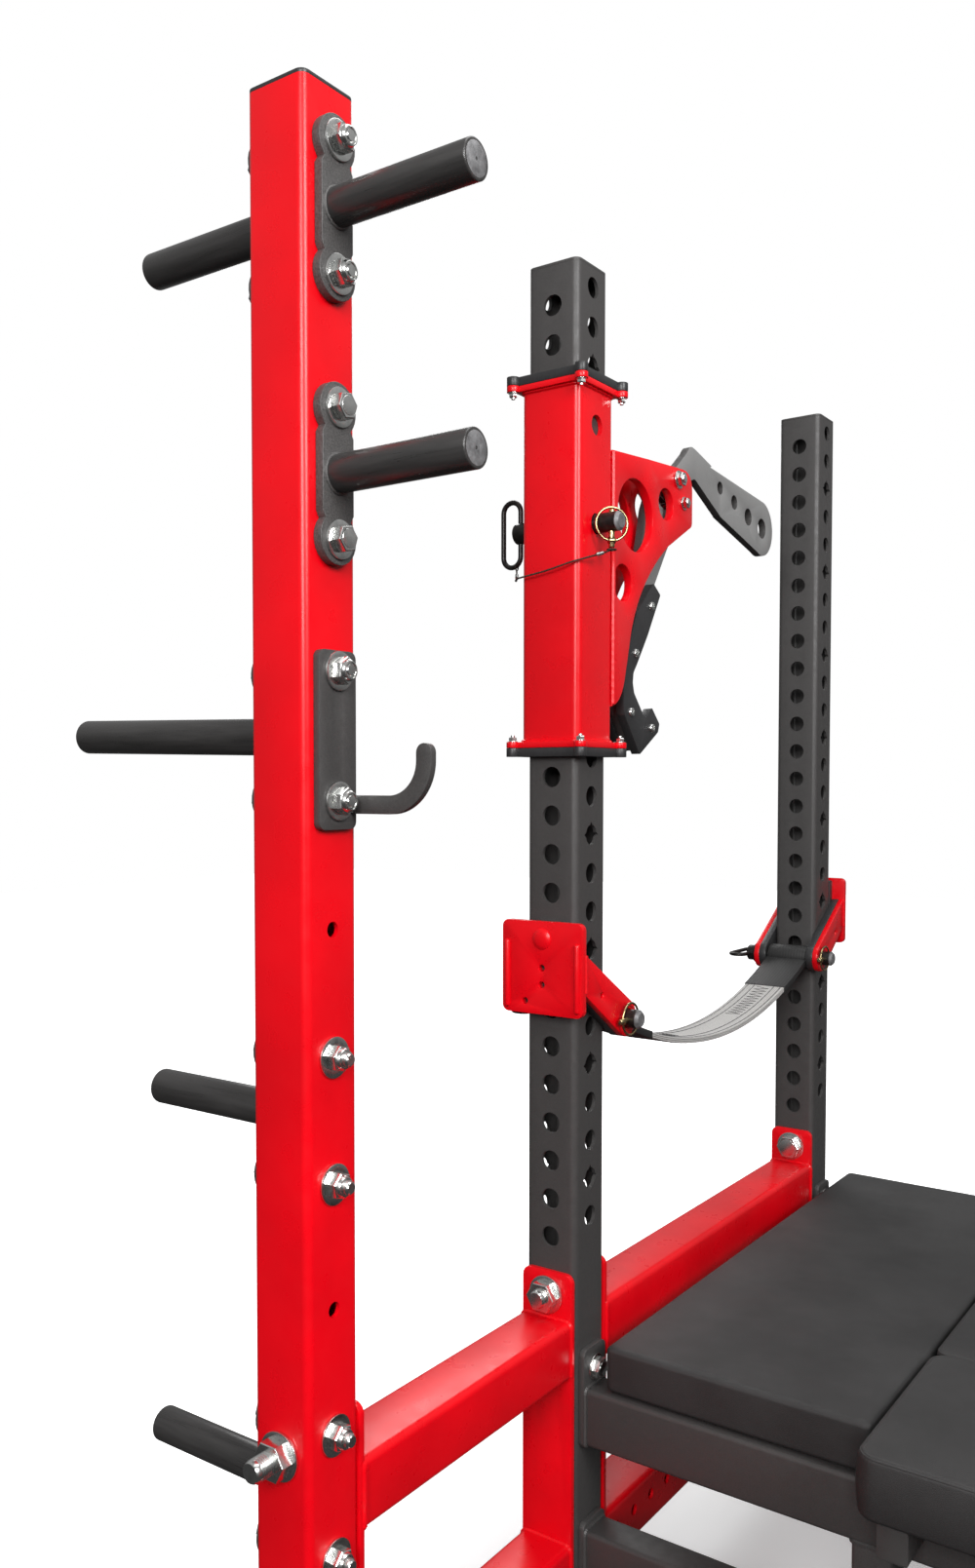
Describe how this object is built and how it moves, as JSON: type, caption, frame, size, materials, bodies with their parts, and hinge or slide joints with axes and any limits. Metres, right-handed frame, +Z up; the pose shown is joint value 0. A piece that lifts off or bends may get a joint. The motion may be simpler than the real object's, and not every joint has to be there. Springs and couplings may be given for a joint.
{
  "type": "monolift bench press rack",
  "caption": "Free-standing bench press rack with swinging monolift arms on height sleeves, hanging safety straps, weight storage pegs and a wide padded bench.",
  "frame": {"origin": "on the floor at the middle of the footprint", "axes": "+X across the machine to the right, +Y from the storage uprights to the end where the lifter gets on, +Z up"},
  "size_m": [1.851, 1.4794, 1.894],
  "materials": {
    "red_powder_coat": "gloss red powder coat with slight orange peel",
    "black_powder_coat": "satin black textured powder coat",
    "grey_steel": "dark grey satin plate",
    "black_steel": "blackened steel pins",
    "black_plastic": "black machined plastic",
    "zinc": "bright zinc plate",
    "gold_zinc": "yellow passivated zinc",
    "steel_cable": "coated stranded cable",
    "black_vinyl": "matt black upholstery vinyl over foam",
    "webbing": "grey woven lifting webbing"
  },
  "bodies": {
    "frame": {"left_storage_upright": "red_powder_coat", "left_rack_upright": "black_powder_coat", "left_entry_upright": "black_powder_coat", "left_storage_ladder": "red_powder_coat", "left_side_ladder": "red_powder_coat", "left_peg_in_high": "black_powder_coat", "left_peg_in_low": "black_powder_coat", "left_peg_out_1": "black_powder_coat", "left_peg_out_2": "black_powder_coat", "left_peg_out_3": "black_powder_coat", "left_peg_out_4": "black_powder_coat", "left_sleeve": "red_powder_coat", "left_guide_top": "black_plastic", "left_guide_bottom": "black_plastic", "left_pivot_bolt": "zinc", "left_lock_pin": "black_steel", "left_lanyard": "steel_cable", "left_strap_bracket_rack": "red_powder_coat", "left_strap_bracket_entry": "red_powder_coat", "left_strap_pin_rack": "black_steel", "left_strap_pin_entry": "black_steel", "left_strap": "webbing", "right_storage_upright": "red_powder_coat", "right_rack_upright": "black_powder_coat", "right_entry_upright": "black_powder_coat", "right_storage_ladder": "red_powder_coat", "right_side_ladder": "red_powder_coat", "right_peg_in_high": "black_powder_coat", "right_peg_in_low": "black_powder_coat", "right_peg_out_1": "black_powder_coat", "right_peg_out_2": "black_powder_coat", "right_peg_out_3": "black_powder_coat", "right_peg_out_4": "black_powder_coat", "right_sleeve": "red_powder_coat", "right_guide_top": "black_plastic", "right_guide_bottom": "black_plastic", "right_pivot_bolt": "zinc", "right_lock_pin": "black_steel", "right_lanyard": "steel_cable", "right_strap_bracket_rack": "red_powder_coat", "right_strap_bracket_entry": "red_powder_coat", "right_strap_pin_rack": "black_steel", "right_strap_pin_entry": "black_steel", "right_strap": "webbing", "left_band_hook": "black_powder_coat", "bench_frame": "black_powder_coat", "side_pad_left": "black_vinyl", "side_pad_right": "black_vinyl", "head_pad": "black_vinyl", "bench_pad": "black_vinyl"},
    "left_arm": {"left_monolift_arm": "grey_steel", "left_facing_inner": "black_plastic", "left_facing_outer": "black_plastic"},
    "left_loop": {"left_loop_handle": "black_steel"},
    "left_ring": {"left_lynch_ring": "gold_zinc"},
    "right_arm": {"right_monolift_arm": "grey_steel", "right_facing_inner": "black_plastic", "right_facing_outer": "black_plastic"},
    "right_loop": {"right_loop_handle": "black_steel"},
    "right_ring": {"right_lynch_ring": "gold_zinc"}
  },
  "joints": [
    {"name": "left_arm_swing", "type": "hinge", "parent": "frame", "child": "left_arm", "pos_m": [-0.5644, 0.0572, 1.652], "axis": [1, 0, 0], "range_deg": [0, 60]},
    {"name": "left_loop_turn", "type": "hinge", "parent": "frame", "child": "left_loop", "pos_m": [-0.6581, -0.1767, 1.5503], "axis": [0, 0, 1], "range_deg": [-80, 80]},
    {"name": "left_ring_flip", "type": "hinge", "parent": "frame", "child": "left_ring", "pos_m": [-0.5171, -0.1767, 1.5258], "axis": [0.6428, 0.766, 0], "range_deg": [0, 120]},
    {"name": "right_arm_swing", "type": "hinge", "parent": "frame", "child": "right_arm", "pos_m": [0.5644, 0.0572, 1.652], "axis": [1, 0, 0], "range_deg": [0, 60]},
    {"name": "right_loop_turn", "type": "hinge", "parent": "frame", "child": "right_loop", "pos_m": [0.6581, -0.1767, 1.5503], "axis": [0, 0, 1], "range_deg": [-80, 80]},
    {"name": "right_ring_flip", "type": "hinge", "parent": "frame", "child": "right_ring", "pos_m": [0.5171, -0.1767, 1.5258], "axis": [0.6428, -0.766, 0], "range_deg": [0, 120]}
  ]
}
